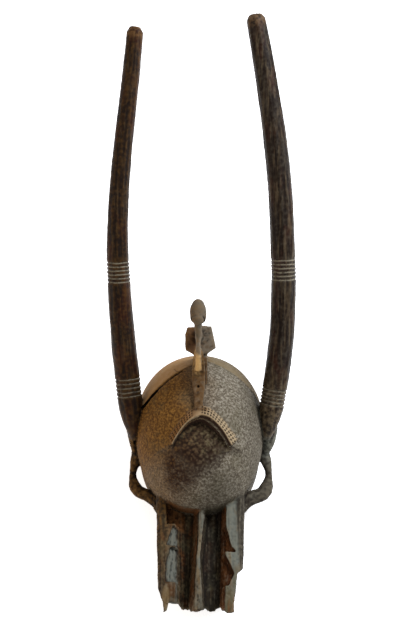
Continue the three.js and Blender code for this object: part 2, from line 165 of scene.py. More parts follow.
class MaskCuts(bpy.types.PropertyGroup):
    """Sizes of the marks that the carver's tools left."""

    grain_of_mesh: length("Mesh grain", "Spacing of the mesh that is carved", 1.05 * MM)
    adze_mark: length("Adze mark", "Width of one pecked mark on the dome", 4.4 * MM)
    adze_depth: length("Adze depth", "Depth of the pecked marks on the dome", 0.85 * MM)
    forehead_mark: length("Forehead mark", "Width of one pecked mark on the forehead", 6.5 * MM)
    forehead_depth: length("Forehead depth", "Depth of the pecked marks on the forehead", 1.5 * MM)
    knife_facet: length("Knife facet", "Width of one knife cut on small forms", 9.0 * MM)
    knife_depth: length("Knife depth", "Depth of the knife cuts on small forms", 0.9 * MM)
    horn_facet: length("Horn facet", "Width of one long cut on the horns", 12.0 * MM)
    horn_facet_run: length("Horn facet run", "Length of one long cut on the horns", 62.0 * MM)
    horn_depth: length("Horn cut depth", "Depth of the long cuts on the horns", 1.3 * MM)
    ring_depth: length("Ring depth", "Depth of the incised rings", 1.0 * MM)
    grid_pitch: length("Grid pitch", "Spacing of the squares on the brow", 5.8 * MM)
    grid_square: length("Grid square", "Width of one sunk square on the brow", 3.4 * MM)
    grid_depth: length("Grid depth", "Depth of the sunk squares on the brow", 1.7 * MM)
    triangles: bpy.props.IntProperty(
        name="Triangles", description="Most triangles the finished carving has", default=196000, min=20000
    )


class MaskColours(bpy.types.PropertyGroup):
    """Colours of the patina, and of the light and shade painted into it."""

    deep: colour("Deep", "Soot and oil in the hollows", "#0f0a07")
    plain: colour("Plain", "Sides and undersides", "#241b14")
    dust: colour("Dust", "Pale dust on high spots", "#877f6c")
    # Painted light: the grey dome and its grey specks are the dome's cool, lit right side, and the golden
    # ground and golden specks its warm, dim left side.
    dome: colour("Dome", "Grey-brown ground of the dome", "#564d40")
    dome_speck: colour("Dome specks", "Grey high spots of the dome", "#979080")
    golden: colour("Golden", "Oiled golden brown ground on the dome's left", "#4b3014")
    golden_speck_warm_side_light: colour("Golden specks", "Lighter high spots on the dome's left", "#86602c")
    smooth_rim: colour("Smooth rim", "Smooth band behind the dome", "#6c5a3c")
    # Painted light: the smooth band's warm left-side copy.
    smooth_rim_left: colour("Smooth rim, left", "Smooth band on the left", "#a5825a")
    forehead: colour("Forehead", "Dark forehead", "#3b2c1f")
    forehead_dust: colour("Forehead dust", "Dusty high spots of the forehead", "#6b6046")
    soot: colour("Soot", "Purple-black blotches", "#25130c")
    olive: colour("Olive", "Greenish stain", "#4a4430")
    brow: colour("Brow", "Cream-grey lines of the brow", "#978366")
    # Painted light: on the brow this red-brown is the warm, dim left side of the cream-grey brow; in the
    # muzzle it is a red-brown stain.
    brow_left: colour("Brow, left", "Red-brown brow on the left", "#6b4524")
    horn: colour("Horn", "Blackened wood of the horns", "#180f0a")
    # Partly painted highlight: these grey streaks stand both for rubbing and for sheen on the lit faces of
    # the horns.
    horn_worn_and_sheen: colour("Horn, worn", "Grey rubbed streaks of the horns", "#66563f")
    horn_red: colour("Horn, red", "Red-brown patches of the horns", "#2d140a")
    tip: colour("Tips", "Tan bare tips", "#5b4229")
    trough: colour("Trough", "Wood in the muzzle's troughs", "#33281a")
    trough_dark: colour("Trough, dark", "Blue-black wood in the right trough", "#26231e")
    # Pale wood: grey of the ridge's bare wood, and painted light on the right wall's top, the left notches'
    # faces and the right ear.
    pale: colour("Pale wood", "Bare grey wood on tops and edges", "#62645b")
    pale_tan: colour("Pale tan", "Tan stain on the bare wood", "#6e5a3d")
    russet: colour("Russet", "Red-brown stain", "#57351a")
    keel: colour("Keel", "Oiled brown keel", "#553d23")
    bird: colour("Bird", "Dry grey-brown bird", "#6a6052")
    bird_left: colour("Bird, left", "Shaded brown sides of the bird", "#4f3219")
    # Grey-brown: painted light on the right ear, loop and muzzle side, painted shade at the dome's right
    # edge, and a tone on the bird's head.
    grey_brown: colour("Grey-brown", "Sides and limbs on the right", "#332e26")
    lip: colour("Lip", "The lip's shaded inner face", "#2a1b12")
    ochre: colour("Ochre", "Fresh wood where the beak broke", "#cba268")


class MaskStage(bpy.types.PropertyGroup):
    """The stage and its lights."""

    floor: colour("Floor", "Pale floor", "#f6f6f6")
    key_power: strength("Key light", "Power of the cool light in watts", 78)
    fill_power: strength("Fill light", "Power of the warm light in watts", 9)
    floor_light: strength("Floor light", "Strength of the light behind the floor", 0.75)
    room_light: strength("Room light", "Strength of the light from the pale room", 0.55)


def hashed(cells, seed):
    """A fixed number from 0 to 1 for each whole-number cell."""
    x, y, z = (cells[:, i].astype(np.int64).astype(np.uint32) for i in range(3))
    mixed = x * np.uint32(73856093) ^ y * np.uint32(19349663) ^ z * np.uint32(83492791)
    mixed ^= np.uint32(seed * 2654435761 % 2**32)
    mixed = (mixed ^ (mixed >> np.uint32(15))) * np.uint32(2246822519)
    mixed = (mixed ^ (mixed >> np.uint32(13))) * np.uint32(3266489917)
    return (mixed >> np.uint32(8)) / 16777216.0


def mottle(points, size, seed):
    """Soft random waves between -1 and 1, about size across."""
    places = points / size
    base = np.floor(places)
    part = places - base
    part = part * part * (3 - 2 * part)
    total = np.zeros(len(points))
    for corner in itertools.product((0, 1), repeat=3):
        share = np.prod(np.where(corner, part, 1 - part), axis=1)
        total += share * hashed(base + corner, seed)
    return total * 2 - 1


def scoops(points, size, seed):
    """Small hollows set close together: 0 in the middle of each, towards 1 on the ridges between them."""
    places = points / size
    base = np.floor(places)
    nearest = np.full(len(points), 9.0)
    for step in itertools.product((-1, 0, 1), repeat=3):
        cell = base + step
        jitter = np.stack([hashed(cell, seed + k) for k in range(3)], axis=1)
        nearest = np.minimum(nearest, ((cell + jitter - places) ** 2).sum(axis=1))
    return np.clip(nearest, 0, 1)


def ramp(values, low, high):
    """0 at low and 1 at high, with a smooth run between."""
    share = np.clip((values - low) / (high - low), 0, 1)
    return share * share * (3 - 2 * share)


def smooth_line(points, steps):
    """A smooth line through the points, with that many steps from one to the next."""
    points = np.array(points, float)
    ends = np.vstack([2 * points[0] - points[1], points, 2 * points[-1] - points[-2]])
    t = np.linspace(0, 1, steps, endpoint=False)[:, None]
    line = []
    for a, b, c, d in zip(ends, ends[1:], ends[2:], ends[3:]):
        line.append(
            0.5 * (2 * b + (c - a) * t + (2 * a - 5 * b + 4 * c - d) * t**2 + (3 * b - a - 3 * c + d) * t**3)
        )
    return np.vstack([*line, points[-1:]])


def horn_line(horn):
    """The middle line of a horn: straight at first, then bending down a little."""
    points = []
    last = len(horn["spread"]) - 1
    for i, spread in enumerate(horn["spread"]):
        distance = horn["length"] * i / last
        gone = np.arange(0, distance, 4.0)
        bend = np.clip(gone - HORN_STRAIGHT, 0, None) / 400
        angle = np.radians(HORN_ANGLES[0] - (HORN_ANGLES[0] - HORN_ANGLES[1]) * bend)
        part = np.minimum(4.0, distance - gone)
        y, z = HORN_START[0] + (part * np.cos(angle)).sum(), HORN_START[1] + (part * np.sin(angle)).sum()
        points.append((horn["side"] * spread, y, z))
    return smooth_line(points, 12)


def unit(vectors):
    return vectors / np.maximum(np.linalg.norm(vectors, axis=1, keepdims=True), 1e-9)


def place_on_horn(horn, points):
    """Each point's place across and along the horn, in mm, and its distance from the horn's middle line."""
    line = horn_line(horn)
    gone = np.concatenate([[0], np.cumsum(np.linalg.norm(np.diff(line, axis=0), axis=1))])
    forward = unit(np.gradient(line, axis=0))
    across = unit(np.cross(forward, (0, 0, 1.0)))
    upward = np.cross(across, forward)
    place = np.full((len(points), 3), -999.0)
    near = np.flatnonzero((horn["side"] * points[:, 0] > 55) & (points[:, 1] > -70) & (points[:, 2] > 60))
    for chunk in np.array_split(near, max(1, len(near) // 20000)):
        gaps = ((points[chunk][:, None] - line[None]) ** 2).sum(axis=2)
        i = gaps.argmin(axis=1)
        offset = points[chunk] - line[i]
        place[chunk, 0] = (offset * across[i]).sum(axis=1)
        place[chunk, 1] = (offset * upward[i]).sum(axis=1)
        place[chunk, 2] = gone[i] + (offset * forward[i]).sum(axis=1)
    return place, np.hypot(place[:, 0], place[:, 1])


def helmet_depth(points, widening=0.0):
    """How far each point lies outside the helmet's egg, in mm, negative inside it."""
    x, y, z = points.T
    low = np.clip(1 - z / HELMET["wall"], 0, None)
    reach = np.where(y < 0, HELMET["front"] - HELMET["front_draw"] * low, HELMET["back"])
    half = HELMET["half_width"] + widening - HELMET["side_draw"] * low
    squareness = np.where(y < 0, HELMET["front_squareness"], HELMET["back_squareness"])
    plan = (np.abs(x / half) ** squareness + np.abs(y / reach) ** squareness) ** (2 / squareness)
    up = np.clip(z - HELMET["wall"], 0, None)
    share = np.sqrt(plan + (up / HELMET["rise"]) ** 2)
    distance = np.sqrt(x**2 + y**2 + up**2)
    return distance * (1 - 1 / np.maximum(share, 1e-6))


def from_middle(points):
    """The direction from the helmet's middle to each point."""
    middle = np.zeros_like(points)
    middle[:, 2] = np.minimum(points[:, 2], HELMET["wall"])
    return unit(points - middle)


def brow_edge(offset, outward):
    """How far forward the brow's line runs, that lies outward of its inner edge."""
    height = 1 - np.abs(offset) ** BROW["roundness"]
    draw = outward * (BROW["end_draw"] / BROW["width"]) * (1 - height)
    return BROW["end_y"] + draw + height * (BROW["top_y"] - BROW["end_y"] + outward - draw)


def place_on_brow(points):
    """Each point's place along the arch from its middle, and outwards from its inner edge, in mm."""
    place = np.tile([0.0, 99.0, 9.0], (len(points), 1))
    around = (np.abs(points[:, 0]) < 95) & (np.abs(points[:, 1] + 85) < 85)
    near = np.flatnonzero(around & (points[:, 2] > 90))
    x, y = points[near, 0] - BROW["middle"], points[near, 1]
    side_share = np.where(x < 0, BROW["left_share"], BROW["right_share"])
    low, high = np.full(len(near), -14.0), np.full(len(near), 40.0)
    for _ in range(14):
        outward = (low + high) / 2
        offset = x / (BROW["half_span"] + outward * side_share)
        inside = y < brow_edge(offset, outward)
        high = np.where(inside, outward, high)
        low = np.where(inside, low, outward)
    shares = np.linspace(-1.3, 1.3, 131)
    middle = BROW["width"] / 2
    xs = shares * (BROW["half_span"] + middle * np.where(shares < 0, BROW["left_share"], BROW["right_share"]))
    run = np.concatenate([[0], np.cumsum(np.hypot(np.diff(xs), np.diff(brow_edge(shares, middle))))])
    place[near] = np.stack([np.interp(offset, shares, run - run[65]), outward, offset], axis=1)
    return place.T


def distance_to(route, points):
    """The distance of each point from a route of straight runs, seen from above."""
    best = np.full(len(points), 1e9)
    for a, b in zip(np.array(route[:-1], float), np.array(route[1:], float)):
        run = b - a
        share = np.clip(((points[:, :2] - a) @ run) / (run @ run), 0, 1)
        best = np.minimum(best, np.linalg.norm(points[:, :2] - a - share[:, None] * run, axis=1))
    return best


def back_band(points):
    """0 on the pecked dome and 1 on the smooth band behind its crown, which fades out down the back."""
    # The band's edge curves back on both sides, and on the left it follows the split.
    x = points[:, 0]
    edge = np.where(x < 0, 78 + 0.5 * x - 0.0016 * x**2, 88 - 0.35 * x - 0.0018 * x**2)
    return ramp(points[:, 1] - edge, -1.0, 2.0) * ramp(points[:, 2], 88, 132)


def forms(points, normals):
    """How much each point belongs to each form of the mask, from 0 to 1, with the forms' places in mm."""
    x, y, z = points.T
    depth = helmet_depth(points)
    outward = (normals * from_middle(points)).sum(axis=1)
    lowered = points + np.array([0, FOREHEAD["forward"], FOREHEAD["drop"]])
    forehead_depth = helmet_depth(lowered, FOREHEAD["widening"])
    along_brow, out_brow, offset = place_on_brow(points)
    facing_out = ramp(outward, -0.1, 0.3)
    form = {"along_brow": along_brow, "out_brow": out_brow, "depth": depth}
    form["inside"] = ramp(-depth, 6, 9) * ramp(-outward, -0.2, 0.2)
    # In front of the arch the dome and the forehead flow together, so the skin there lies further off.
    flowing = ramp(-y, 80, 90) * ramp(z, 100, 110) * ramp(-np.abs(depth), -9, -6)
    form["dome"] = facing_out * np.maximum(ramp(-np.abs(depth), -2.6, -1.4), flowing)
    in_arch = ramp(-out_brow, -1.0, 1.0) * ramp(-np.abs(offset), -1.35, -0.95)
    form["forehead"] = in_arch * facing_out * ramp(-np.abs(forehead_depth), -3.5, -1.5) * ramp(z, 96, 104)
    form["band"] = (
        ramp(out_brow, -0.4, 0.4)
        * ramp(-out_brow, -22.5, -21.5)
        * ramp(-np.abs(offset), -1.02, -0.99)
        * ramp(depth, -0.8, 0.4)
        * (depth < 14)
        * ramp(normals[:, 2], 0.1, 0.4)
    )
    across = x - MUZZLE_MIDDLE
    form["muzzle"] = ramp(-y, 118, 124) * ramp(-z, -99, -97) * ramp(depth, 0.5, 2.0) * (np.abs(across) < 84)
    muzzle_top = form["muzzle"] * ramp(normals[:, 2], 0.6, 0.85)
    ridge_middle = np.interp(y, RIDGE[::-1, 0], RIDGE[::-1, 1])
    form["ridge"] = muzzle_top * ramp(z, 70, 84) * ramp(-np.abs(x - ridge_middle), -7.5, -4)
    form["wall_top"] = muzzle_top * ramp(z, 84, 88) * ramp(np.abs(across), 30, 36)
    in_wall = np.where(across < 0, ramp(-np.abs(across + 49), -17, -14), ramp(-np.abs(across - 46), -19, -16))
    form["notch"] = form["muzzle"] * in_wall * ramp(z, 60, 66) * ramp(-z, -88.5, -86)
    form["trough"] = form["muzzle"] * ramp(z, 48, 54) * ramp(-z, -89, -85) * ramp(-np.abs(across), -42, -38)
    keel_run = ramp(y, -34, -28) * (y < 62) * (z > 150)
    form["keel"] = ramp(depth, 1.5, 3.0) * ramp(-np.abs(x + 2), -17, -14) * keel_run
    form["bird"] = ramp(y, 60, 64) * (np.abs(x) < 36) * ramp(depth, 3, 5) * (z > 150)
    form["bird"] = np.maximum(form["bird"], (z > 268) * (np.abs(x) < 36) * (y < 140))
    form["horn"] = np.zeros(len(points))
    form["horn_place"] = np.zeros((len(points), 3))
    for horn in HORNS:
        place, distance = place_on_horn(horn, points)
        share = np.clip(place[:, 2] / horn["length"], 0, 1)
        radius = np.interp(share, np.linspace(0, 1, len(horn["radius"])), horn["radius"])
        root = np.sin(np.clip(place[:, 2] / HORN_ROOT[0], 0, 1) * math.pi / 2)
        radius = radius * (HORN_ROOT[1] + (1 - HORN_ROOT[1]) * root)
        on = ramp(radius + 4 - distance, 0, 2) * ramp(place[:, 2], -4, 12) * ramp(depth, 1, 3)
        mine = on > form["horn"]
        form["horn"] = np.where(mine, on, form["horn"])
        form["horn_place"][mine] = place[mine]
    named = ("inside", "dome", "forehead", "band", "muzzle", "keel", "bird", "horn")
    form["other"] = np.clip(1 - sum(form[k] for k in named), 0, 1)
    return form


def ring_lines(points, form):
    """0 away from the incised rings and 1 in the middle of each."""
    lines = np.zeros(len(points))
    wobble = 0.8 * mottle(points, 13, 41)
    for horn in HORNS:
        mine = (form["horn"] > 0.3) & (horn["side"] * points[:, 0] > 0)
        for first, count, pitch in horn["rings"]:
            for i in range(count):
                gap = np.abs(form["horn_place"][:, 2] + wobble - first - i * pitch)
                lines = np.maximum(lines, mine * ramp(-gap, -1.5, -0.5))
    return lines


def grid_squares(points, form, cuts):
    """0 on the brow's raised lines and 1 in its sunk squares, in three rows."""
    pitch, square = cuts.grid_pitch / MM, cuts.grid_square / MM
    along = form["along_brow"] + 0.8 * mottle(points, 15, 51)
    outward = form["out_brow"] + 0.5 * mottle(points, 11, 52)
    across = np.abs(along / pitch - np.round(along / pitch)) * pitch
    row = np.minimum.reduce([np.abs(outward - middle) for middle in GRID_ROWS])
    free = ramp(np.abs(points[:, 0] + 4), 7.5, 9)
    sunk = ramp(-across, -square / 2 - 0.3, -square / 2 + 0.5) * ramp(-row, -2.0, -1.1)
    return sunk * free * form["band"]


def crack_line(points, form):
    """1 in the long split of the crown and in the scratch across its end."""
    jagged = points + 1.3 * np.stack([mottle(points, 7, 61), mottle(points, 7, 62), 0 * points[:, 0]], axis=1)
    split = ramp(-distance_to(CRACK, jagged) / (1 + 0.9 * ramp(-points[:, 0], 50, 90)), -1.6, -0.6)
    scratch = 0.4 * ramp(-distance_to(CRACK_SCRATCH, jagged), -1.1, -0.4)
    return np.maximum(split, scratch) * np.maximum(form["dome"], form["other"]) * (points[:, 2] > 140)


def bill_seam(points):
    """1 in the fold between the bird's cap and the ball of its bill."""
    ball = np.linalg.norm(points - np.array(BILL_ROOT), axis=1)
    return ramp(-np.abs(ball - 11.6), -1.6, -0.6) * ramp(-np.abs(points[:, 1] - BILL_ROOT[1]), -3, -1.5)


def stretched(points, across, run):
    """The points squeezed along Y, for marks that run along the muzzle."""
    return points / np.array([across, run, across])


def tool_marks(points, normals, form, cuts):
    """How far the tools push each point in or out along its normal, in mm."""
    smooth_back = back_band(points)
    on_horn = ramp(form["horn_place"][:, 2], 10, 50)
    broken = ramp(-points[:, 1], 306, 318) * ramp(-normals[:, 1], 0.4, 0.7)

    def pecked(p, _):
        return cuts.adze_depth / MM * (0.35 - scoops(p, cuts.adze_mark / MM, 11)) + 0.4 * mottle(p, 26, 13)

    def rough(p, _):
        marks = cuts.forehead_depth / MM * (0.35 - scoops(p, cuts.forehead_mark / MM, 14))
        return marks + 0.5 * mottle(p, 3.4, 15) + 0.6 * mottle(p, 15, 16)

    def long_cuts(p, place):
        facets = scoops(place / np.array([cuts.horn_facet, cuts.horn_facet, cuts.horn_facet_run]) * MM, 1, 21)
        streaks = 0.3 * mottle(place / np.array([1, 1, 12.0]), 2.4, 22)
        return cuts.horn_depth / MM * (facets - 0.3) + streaks + 0.6 * (scoops(p, 6.5, 23) - 0.3)

    def grain(p, _):
        fibres = 0.5 * mottle(stretched(p, 1, 13), 2.4, 31) + 0.35 * mottle(p, 3.2, 39)
        return fibres + 1.5 * (scoops(stretched(p, 9, 30), 1, 32) - 0.3)

    def knife(p, _):
        return cuts.knife_depth / MM * (scoops(p, cuts.knife_facet / MM, 33) - 0.3) + 0.2 * mottle(p, 2.8, 34)

    def gouge(p, _):
        return 2.4 * (scoops(p / np.array([15, 15, 38.0]), 1, 35) - 0.3)

    def splintered(p, _):
        return 3.0 * mottle(p / np.array([1, 3, 2.0]), 5, 37) + 1.0 * mottle(p, 2.4, 38)

    push = form["dome"] * 0.6 * (ramp(smooth_back, 0.0, 0.5) - 1)
    for share, marks in (
        (form["dome"] * (1 - 0.9 * smooth_back), pecked),
        (form["forehead"] * (1 - form["dome"]), rough),
        (form["horn"] * on_horn, long_cuts),
        (form["muzzle"], grain),
        (np.clip(form["keel"] + form["bird"] + form["other"], 0, 1), knife),
        (form["inside"], gouge),
        (broken, splintered),
    ):
        there = np.flatnonzero(share > 0)
        push[there] += share[there] * marks(points[there], form["horn_place"][there])
    push -= (cuts.ring_depth / MM) * ring_lines(points, form)
    push -= (cuts.grid_depth / MM) * grid_squares(points, form, cuts)
    push -= 3.2 * crack_line(points, form) + 1.2 * bill_seam(points)
    hole = np.hypot(points[:, 0] - KEEL_HOLE[0], points[:, 1] - KEEL_HOLE[1])
    push -= 4.0 * form["keel"] * ramp(-hole, -2.6, -1.2) * ramp(normals[:, 2], 0.2, 0.5)
    return push * ramp(points[:, 2], 0.4, 3.0)


def mesh_points(mesh):
    """The mesh's points and normals, in mm from the helmet's middle."""
    count = len(mesh.vertices)
    points = np.empty(count * 3, np.float32)
    mesh.vertices.foreach_get("co", points)
    normals = np.empty(count * 3, np.float32)
    mesh.vertex_normals.foreach_get("vector", normals)
    middle = np.array([CAD_LOW.x, CAD_LOW.y, 0]) / MM + np.array([HELMET_FROM_LEFT, HELMET_FROM_FRONT, 0])
    return points.reshape(-1, 3).astype(float) / MM - middle, normals.reshape(-1, 3).astype(float), middle


def set_points(mesh, points, middle):
    mesh.vertices.foreach_set("co", ((points + middle) * MM).astype(np.float32).ravel())
    mesh.update()


def averaged(values, edges, rounds):
    """The values after that many rounds of each taking its neighbours' mean."""
    count = len(values)
    degree = np.bincount(edges.ravel(), minlength=count)
    degree = np.maximum(degree, 1)
    for _ in range(rounds):
        total = np.empty_like(values)
        for axis in range(values.shape[1]):
            column = values[:, axis]
            there = np.bincount(edges[:, 0], column[edges[:, 1]], count)
            back = np.bincount(edges[:, 1], column[edges[:, 0]], count)
            total[:, axis] = (there + back) / degree
        values = (values + total) / 2
    return values


def mesh_edges(mesh):
    edges = np.empty(len(mesh.edges) * 2, np.int32)
    mesh.edges.foreach_get("vertices", edges)
    return edges.reshape(-1, 2)


def apply_modifier(piece, kind, **settings):
    """Adds a modifier with its settings and applies it."""
    modifier = piece.modifiers.new(kind.title(), kind)
    for name, value in settings.items():
        setattr(modifier, name, value)
    bpy.ops.object.modifier_apply(modifier=modifier.name)


def blank_from(node_name, piece_name):
    """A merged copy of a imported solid, selected on its own."""
    bpy.ops.object.select_all(action="DESELECT")
    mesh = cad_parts[node_name].data.copy()
    mesh.materials.clear()
    piece = bpy.data.objects.new(piece_name, mesh)
    bpy.context.collection.objects.link(piece)
    piece.select_set(True)
    bpy.context.view_layer.objects.active = piece
    bpy.ops.object.mode_set(mode="EDIT")
    bpy.ops.mesh.select_all(action="SELECT")
    bpy.ops.mesh.remove_doubles(threshold=0.00001)
    bpy.ops.object.mode_set(mode="OBJECT")
    return piece


def true_up_dome(points, normals):
    """Moves the faceted dome and forehead onto smooth eggs, which flow together in front of the arch."""
    form = forms(points, normals)
    ray = from_middle(points)
    lowered = points + np.array([0, FOREHEAD["forward"], FOREHEAD["drop"]])
    dome_gap = helmet_depth(points)
    forehead_gap = helmet_depth(lowered, FOREHEAD["widening"])
    sharp = dome_gap * form["dome"] + forehead_gap * form["forehead"] * (1 - form["dome"])
    fade = FOREHEAD["fade"]
    near = np.clip(fade - np.abs(dome_gap - forehead_gap), 0, None) / fade
    flowing = np.maximum(dome_gap, forehead_gap) + near**2 * fade / 4
    flowing = flowing * np.maximum(form["dome"], form["forehead"])
    in_front = ramp(-points[:, 1], 76, 94) * ramp(points[:, 2], 104, 118)
    return points - ray * (sharp + (flowing - sharp) * in_front)[:, None]


def soften_joints(points, normals, edges):
    """Lets the dome flow into the muzzle, and the ears and loops into the helmet, as carved wood does."""
    form = forms(points, normals)
    x, y, z = points.T
    corner = ramp(-y, 112, 124) * ramp(-np.abs(form["depth"]), -13, -6)
    corner = corner * ramp(z, 66, 74) * ramp(-z, -122, -108)
    pocket = ramp(-np.abs(x + 46), -20, -14) * ramp(-y, 146, 152)
    limbs = form["other"] * ramp(np.abs(x), 84, 92) * ramp(-z, -150, -140) * ramp(z, 26, 32)
    roots = ramp(-np.abs(form["horn_place"][:, 2] - 20), -70, -40) * ramp(-np.abs(form["depth"]), -8, -4)
    limbs = np.maximum(limbs, roots * (z > 90) * (np.abs(x) > 84))
    beside_arch = ramp(-np.abs(form["depth"]), -16, -10) * ramp(-y, 88, 96) * ramp(z, 104, 116)
    flowing = np.maximum(corner * (1 - pocket), beside_arch)
    points = points + (averaged(points, edges, 60) - points) * flowing[:, None]
    rounded = np.clip(0.8 * limbs + 0.35 * form["bird"], 0, 1)
    return points + (averaged(points, edges, 14) - points) * rounded[:, None]


def store(mesh, name, values):
    attribute = mesh.attributes.new(name, "FLOAT", "POINT")
    attribute.data.foreach_set("value", np.clip(values, 0, 1).astype(np.float32))


def ellipse_around(points, place, reach):
    """1 in the middle of an egg-shaped stain and 0 outside it."""
    gap = np.linalg.norm((points - np.array(place)) / np.array(reach), axis=1)
    return ramp(-gap, -1.25, -0.55)


def muzzle_marks(points, form):
    """How much each point of the muzzle belongs to each of its differently stained faces, and to its faces
    with painted light and shade.
    """
    x, y, z = points.T
    right = ramp(x, MUZZLE_MIDDLE - 2, MUZZLE_MIDDLE + 2)
    pocket = ramp(-np.abs(x + 44), -20, -16) * ramp(-np.abs(y + 168), -28, -20) * ramp(-z, -89, -86)
    throat = ramp(-np.abs(form["depth"]), -5, -3) * ramp(-y, 132, 142) * ramp(-z, -98, -88) * ramp(z, 58, 66)
    throat *= ramp(-np.abs(x - MUZZLE_MIDDLE), -62, -56)
    front = ramp(-y + 12 * mottle(points, 20, 81), 262, 282)
    finger = np.hypot(x - FINGER[0], (y - FINGER[1]) / 3.4)
    grey_floor = ramp(-np.abs(x + 48 + 3 * mottle(points, 9, 82)), -10, -6)
    return {
        "muzzle_side": form["muzzle"] * ramp(np.abs(x - MUZZLE_MIDDLE), 64, 70),
        # Painted light: the muzzle's right side in cool grey, for the key light on that side.
        "muzzle_side_right": form["muzzle"] * ramp(x + 0.04 * (y + 120), 61, 65),
        "trough": form["trough"],
        "trough_right": form["trough"] * right,
        "ridge": form["ridge"],
        "ridge_flank": form["trough"] * (1 - right) * ramp(-np.abs(x + 9), -10, -6) * ramp(z, 60, 66),
        # Painted light: the right wall's top and the left notches' faces are lit, the left wall's top and the
        # right notches' faces shaded, after the key light from the right.
        "right_wall": form["wall_top"] * right,
        "right_wall_front": form["wall_top"] * right * front,
        "left_wall": form["wall_top"] * (1 - right),
        "right_notches": form["notch"] * right,
        "left_notches": form["notch"] * (1 - right) * grey_floor,
        "finger": form["muzzle"] * ramp(-finger, -7.5, -5) * ramp(z, 74, 82),
        "pocket": form["muzzle"] * pocket,
        "throat": throat * (1 - right),
        "throat_right": throat * right,
    }


def limb_marks(points, normals, form, left):
    """How much each point belongs to the horns, ears, loops, keel and bird, to their stains, and to the light
    and shade painted on their sides.
    """
    x, y, z = points.T
    limb = form["other"] * ramp(np.abs(x), 84, 92) * ramp(-z, -150, -140)
    lengths = np.where(x < 0, HORNS[0]["length"], HORNS[1]["length"])
    break_face = ellipse_around(points, BEAK_BREAK, (7.5, 28, 24)) * ramp(normals[:, 2], 0.1, 0.4)
    return {
        "horn": form["horn"],
        # Painted light: more grey streaks on the right horn and its root, for the cool key light on that
        # side.
        "horn_right": form["horn"] * (1 - left),
        "horn_root_right": form["horn"] * (x > 0) * ramp(-form["horn_place"][:, 2], -150, -60),
        # The rings' pale dust is real; its fading on downward faces is painted shade.
        "rings": ring_lines(points, form) * ramp(normals[:, 2], 0.0, 0.6),
        "tips": form["horn"] * ramp(form["horn_place"][:, 2] - lengths, -22, -8),
        "limb": limb,
        # Painted light: the right ear and loop turn cool grey and the right ear paler, for the cool key light
        # on that side.
        "limb_right": limb * (1 - left),
        "ear_right": limb * (x > 0) * ramp(z, 58, 72),
        "keel": form["keel"],
        # Painted shade: a dark line down the keel's left flank.
        "keel_edge": form["keel"] * ramp(-x, 6, 9) * ramp(-np.abs(y + 5), -34, -22),
        "bird": form["bird"],
        "bird_left": form["bird"] * ramp(-x, 4, 8) * (z < 290),
        "head": form["bird"] * ramp(z, 300, 306),
        "seam": bill_seam(points),
        "break": (form["keel"] + form["bird"]) * break_face,
    }


def mark_patina(mesh, cuts):
    """Stores where the wood is worn, hollow, dusty or stained, and where light and shade are painted, for the
    patina to read.
    """
    points, normals, _ = mesh_points(mesh)
    edges = mesh_edges(mesh)
    form = forms(points, normals)
    x, y, z = points.T
    # Painted light: this splits the carving into a warm, dim left side and a cool, lit right side, standing
    # in for the warm fill and the cool key light.
    left = 1 - ramp(x + 0.35 * np.clip(-y - 70, 0, None) + 10 * mottle(points, 30, 71), -50, 36)
    fine = ((points - averaged(points, edges, 3)) * normals).sum(axis=1)
    broad = ((points - averaged(points, edges, 24)) * normals).sum(axis=1)
    back = back_band(points)
    out = form["out_brow"]
    forehead = form["forehead"] * ramp(y - 0.5 * np.abs(x) + 9 * mottle(points, 16, 73), -140, -90)
    beside = (z > 150) & (np.abs(x - BROW["middle"]) < 60)
    under_lip = form["other"] * ramp(-out, -1, 0.6) * ramp(out, -26, -22) * beside
    # Painted highlight: the lit inner edge of the arch's left leg.
    lip_edge = ramp(-np.abs(out), -1.7, -0.7) * ramp(form["depth"], 4, 6) * (x < 0) * (z > 150) * (y < -30)
    soot = ellipse_around(points[:, :2] + 5 * mottle(points, 14, 72)[:, None], SOOT[:2], SOOT[2:])
    worn = np.clip(ramp(fine, 0.06, 0.32) + ramp(broad, 0.5, 1.8), 0, 1) * (1 - 0.6 * form["horn"])
    hollow = np.clip(ramp(-fine, 0.05, 0.3) + ramp(-broad, 0.4, 2.2), 0, 1)
    hollow *= 1 - np.maximum(0.55 * form["dome"], 0.6 * form["wall_top"])
    marks = {
        # Rubbed high spots; on the left they take the golden specks instead of pale dust, a warm tone painted
        # for the dim left side.
        "worn": worn * (1 - left),
        "worn_left": worn * left,
        "hollow": hollow,
        "dome": form["dome"],
        # Painted light: the dome's warm, dim left side.
        "dome_left": form["dome"] * left * (1 - 0.6 * ramp(-y, 60, 115)),
        # Painted shade: the dome darker towards its right edge and its low front.
        "dusk": form["dome"] * np.maximum(ramp(x, 50, 100), 0.8 * ramp(-y, 90, 135) * ramp(x, -20, 30)),
        "rim": form["dome"] * back,
        # Painted light: the smooth band's warm left side.
        "rim_left": form["dome"] * back * left,
        "forehead": forehead,
        "soot": soot * np.maximum(form["forehead"], form["dome"]) * (y < -60) * (z > 110),
        "brow": form["band"],
        # Painted light: the brow's warm, dim left side.
        "brow_left": form["band"] * left,
        "brow_edge": form["band"] * ramp(-out, -2.4, -1.4) * (x > 0),
        "lip_edge": lip_edge,
        "under_lip": under_lip,
        "grid": grid_squares(points, form, cuts),
        "crack": crack_line(points, form),
    }
    marks.update(muzzle_marks(points, form))
    marks.update(limb_marks(points, normals, form, left))
    for name, values in marks.items():
        store(mesh, name, values)


